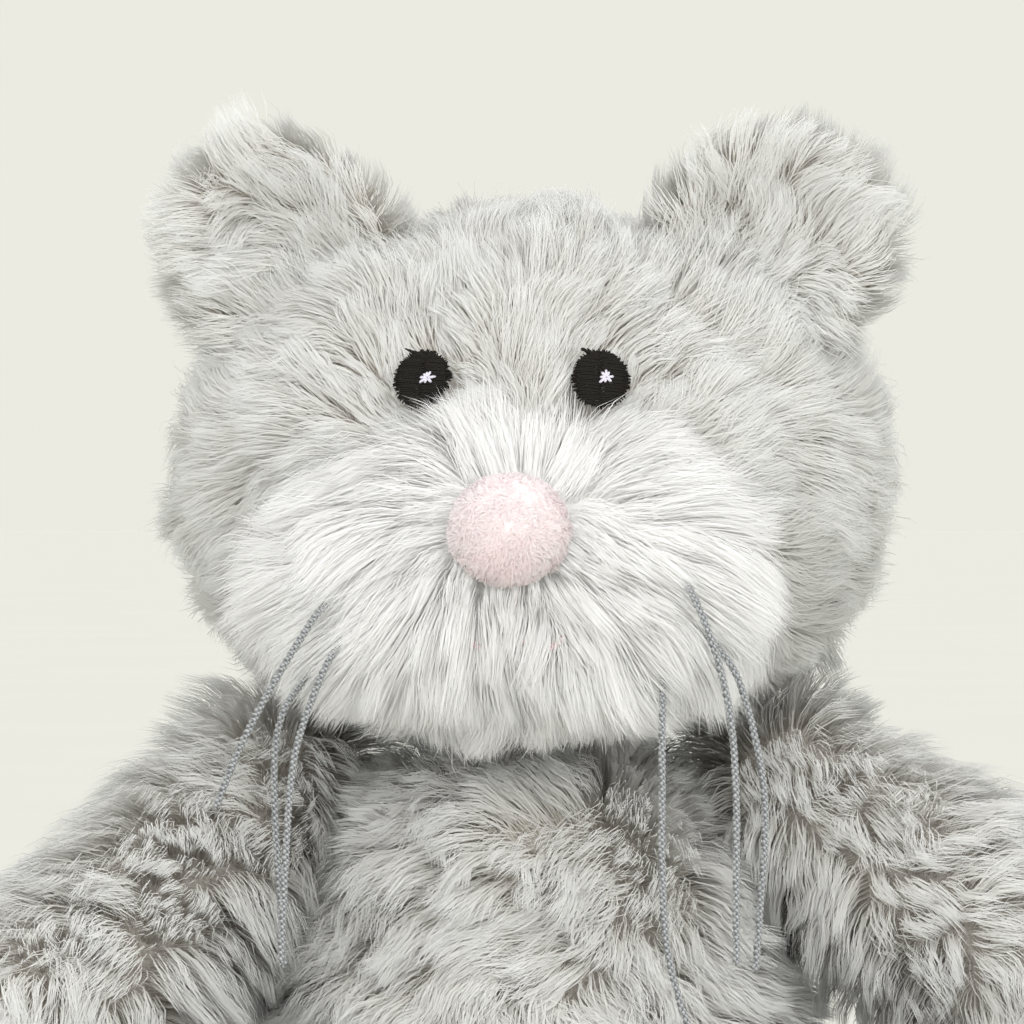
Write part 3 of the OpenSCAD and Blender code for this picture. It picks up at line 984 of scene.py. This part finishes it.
def build_ear(side, head_tree, materials):
    """An ear's front and back panels, with pile where they are outside the head."""
    sign = EYES[side]
    low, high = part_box(side + "_ear_back")
    outer = low[0] if sign < 0 else high[0]
    middle = np.array([outer - sign * EAR_REACH, low[1] - 2 * MM, high[2] - EAR_REACH])
    all_points, normals, triangles = surface(closed_mesh(*ear_surface(middle, -sign)))
    facing = normals[triangles].mean(axis=1)[:, 1]
    base = middle + np.array([-sign * 17, -4, -17]) * MM

    def trim(roots):
        return np.array([1.0 if outside(r, head_tree) else 0.0 for r in roots.tolist()])

    for number, (panel, chosen) in enumerate([("front", facing < 0), ("back", facing >= 0)]):
        node = f"{side}_ear_{panel}"
        part = triangles[chosen]
        cloth, pile = materials[node]
        skin = cloth_panel(node + "_backing", all_points, part, BACKING, cloth)
        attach(skin, "head")
        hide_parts(node)
        fur = grow_pile(node + "_pile", (all_points, normals, part), EAR_COAT, comb_ear(base), pile,
                        trim, 800 + 10 * sign + number)
        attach(fur, "head")


def outside(point, tree):
    place, normal, _, _ = tree.find_nearest(point)
    return (Vector(point) - place).dot(normal) > 0


# ---- Nose, mouth and eyes ----

NOSE_SQUASH = 0.935
MOUTH_DEPTH = 5.5 * MM


def build_nose(materials):
    """A small stuffed oval in short pink pile."""
    cloth, pile = materials["nose_cover"]
    mesh = closed_skin("nose_filling", 1 * MM, 1.2 * MM)
    points, normals, triangles = surface(mesh)
    points[:, 2] = NOSE[2] + (points[:, 2] - NOSE[2]) * NOSE_SQUASH
    skin = cloth_panel("nose_backing", points, triangles, 0.5 * MM, cloth)
    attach(skin, "head")
    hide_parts("nose_cover")

    def comb(roots):
        return unit(roots - NOSE) * 0.3 + DOWN * 0.3

    # Fibres tinted pinker towards the nose's lower middle
    def pinker_low_middle(roots):
        reach = np.linalg.norm((roots - NOSE) * [1, 0, 1] - [-1 * MM, 0, -6 * MM], axis=1)
        return 0.75 * np.exp(-(reach / (7 * MM)) ** 2)

    fur = grow_pile("nose_pile", (points, normals, triangles), NOSE_COAT, comb, pile, None, 900,
                    tone=pinker_low_middle)
    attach(fur, "head")


def build_mouth(material):
    """A short upright stitch and two arcs of pink twisted thread."""
    low, high = (np.array(c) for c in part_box("mouth_stitch"))
    middle = (low + high) / 2 + np.array([0, MOUTH_DEPTH, 0])
    wide = (high[0] - low[0]) / 4
    routes = [np.linspace(middle + [0, 1.0 * MM, (high - low)[2] / 2], middle, 12)]
    for side in (-1, 1):
        turns = np.radians(np.linspace(180, 330, 24) if side > 0 else np.linspace(0, -150, 24))
        arc = np.stack([side * wide + wide * np.cos(turns), 0 * turns, wide * np.sin(turns)], axis=1)
        routes.append(middle + arc)
    threads = [twisted_cord(route, 1.5 * MM, 2.4 * MM, per_turn=10) for route in routes]
    stitch = make_object("mouth_thread", *joined(threads), material)
    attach(stitch, "head")
    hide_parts("mouth_stitch")


def stitches(starts, ends, width, bulge):
    """Satin stitches: flat-backed threads from each start to its end, raised in the middle."""
    threads = []
    for a, b in zip(starts, ends):
        share = np.linspace(0, 1, 7)[:, None]
        line = a * (1 - share) + b * share
        line[:, 2] += bulge * np.sin(np.linspace(0, math.pi, 7))
        radii = width / 2 * np.array([0.35, 0.9, 1, 1, 1, 0.9, 0.35])
        threads.append(tube(line, radii, 6))
    return joined(threads)


# Half the width and half the height of the thread oval
EYE_HALF = np.array([6.35, 6.8, 0]) * MM


def eye_rows(rng):
    """Starts and ends of two layers of thread rows across the eye's oval, each row in two stitches."""
    starts, ends = [], []
    wide, tall, _ = EYE_HALF
    for layer, tilt in ((0, math.radians(8)), (1, math.radians(-5))):
        spin = np.array([[math.cos(tilt), -math.sin(tilt)], [math.sin(tilt), math.cos(tilt)]])
        for row in np.linspace(-0.97, 0.97, 34):
            half = math.sqrt(1 - row * row)
            height = 0.6 * MM * (1 - row * row) + (0.1 + 0.25 * layer) * MM
            for left, right in ((-1, 0.06), (-0.05, 1)):
                x0 = left * half * wide + rng.normal(0, 0.22) * MM
                x1 = right * half * wide + rng.normal(0, 0.22) * MM
                y = row * tall + rng.normal(0, 0.05) * MM
                flat = np.array([[x0, y], [x1, y]]) @ spin.T
                starts.append(np.array([*flat[0], height]))
                ends.append(np.array([*flat[1], height]))
    return starts, ends


def eye_edge(rng):
    """Starts and ends of short stitches that make the oval's edge ragged."""
    starts, ends = [], []
    for turn in rng.uniform(0, 2 * math.pi, 190):
        edge = np.array([math.cos(turn), math.sin(turn), 0]) * EYE_HALF
        starts.append(edge * 0.84 + np.array([0, 0, 0.4 * MM]))
        ends.append(edge * rng.uniform(1.0, 1.13) + np.array([0, 0, rng.uniform(-0.3, 0.7) * MM]))
    return starts, ends


def eye_lash(rng):
    """Starts and ends of the wedge of thread at the eye's upper left."""
    starts, ends = [], []
    for share in rng.uniform(0, 1, 22):
        root = np.array([-4.9 + 4.6 * share, 7.7 - 1.5 * share, 0.2]) * MM
        starts.append(root + rng.normal(0, 0.22, 3) * MM * [1, 1, 0.3])
        ends.append(root + np.array([1.7, -1.1, 0.2]) * MM + rng.normal(0, 0.25, 3) * MM)
    return starts, ends


def eye_star(rng):
    """Starts and ends of the star's strokes, out from its middle."""
    starts, ends = [], []
    middle = np.array([1.3, -0.1, 1.15]) * MM
    for turn in np.radians([10, 66, 92, 128, 172, 214, 250, 318]):
        reach = rng.uniform(1.2, 2.2) * MM
        way = np.array([math.cos(turn), math.sin(turn), 0])
        starts.append(middle + way * 0.1 * MM)
        ends.append(middle + way * reach + np.array([0, 0, rng.uniform(-0.05, 0.15) * MM]))
    return starts, ends


def build_eye(side, black, white):
    """Rows of black thread in a ragged oval with a lash, and a small white star on it."""
    sign = EYES[side]
    rng = np.random.default_rng(50 + sign)
    starts, ends = [], []
    for part in (eye_rows, eye_edge, eye_lash):
        more_starts, more_ends = part(rng)
        starts += more_starts
        ends += more_ends
    thread = make_object(side + "_eye_thread", *stitches(starts, ends, 0.42 * MM, 0.25 * MM), black)
    thread.matrix_world = eye_frame(sign)
    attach(thread, "head")
    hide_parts(side + "_eye")
    starts, ends = eye_star(rng)
    glint = make_object(side + "_eye_star", *stitches(starts, ends, 0.7 * MM, 0.15 * MM), white)
    glint.matrix_world = eye_frame(sign)
    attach(glint, "head")
    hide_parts(side + "_eye_glint")


def dress_inner_pieces():
    """Materials for the CAD pieces that stay: stuffing, pouch and pellets."""
    fibre, calico, pellets = fibre_filling_material(), calico_material(), pellet_material()
    for name, node in frame["nodes"].items():
        if name.endswith("_filling"):
            chosen = fibre
        elif name == "weight_pouch":
            chosen = calico
        elif name == "pouch_pellets":
            chosen = pellets
        else:
            continue
        for place in node.material_slots:
            place.material = chosen


def panel_materials():
    """The backing and the pile of each CAD node: grey, white on the muzzle and the ends, pink on the nose."""
    # The grey backing is real cloth; its taupe, darker than the pile's roots, is painted shade at the pile's
    # base
    grey_cloth = cloth_material("grey_backing", (0.36, 0.335, 0.305), (0.48, 0.455, 0.425))
    white_cloth = cloth_material("white_backing", (0.78, 0.77, 0.74), (0.90, 0.89, 0.87))
    pink_cloth = cloth_material("pink_backing", (0.95, 0.85, 0.855), (0.97, 0.90, 0.90))
    white = (white_cloth, white_pile_material())
    materials = dict.fromkeys(frame["nodes"], (grey_cloth, grey_pile_material()))
    materials.update({n: white for n in frame["nodes"] if "paw" in n or "foot" in n or "muzzle" in n})
    materials["nose_cover"] = (pink_cloth, pink_pile_material())
    return materials


def main():
    make_camera()
    # The silver cord's dark and light stops are painted groove shade and painted highlights
    make_whiskers(thread_material("silver_cord", (0.15, 0.155, 0.16), (0.42, 0.435, 0.445), 500, 0.35))
    make_world()
    make_floor()
    materials = panel_materials()
    build_head(materials)
    head_points, _, head_triangles = surface(closed_skin("head_filling", 4 * MM, SKIN_GROW))
    head_tree = BVHTree.FromPolygons(head_points.tolist(), head_triangles.tolist())
    build_torso(materials)
    black = thread_material("black_thread", (0.006, 0.005, 0.004), (0.018, 0.015, 0.013), 900, 0.6, 0.15)
    star = thread_material("star_thread", (0.50, 0.47, 0.56), (0.74, 0.71, 0.80), 900)
    for number, side in enumerate(EYES):
        arm_coats, leg_coats = (ARM_COAT, PAW_COAT), (LEG_COAT, FOOT_COAT)
        build_limb(side + "_arm", "arm", "paw", arm_coats, 30 * MM, 30, materials, 300 + 10 * number)
        build_limb(side + "_leg", "leg", "foot", leg_coats, 5 * MM, 0, materials, 400 + 10 * number)
        build_ear(side, head_tree, materials)
        build_eye(side, black, star)
    build_tail(materials)
    build_nose(materials)
    build_mouth(thread_material("mouth_thread", (0.80, 0.52, 0.55), (0.92, 0.70, 0.72), 700))
    dress_inner_pieces()


main()
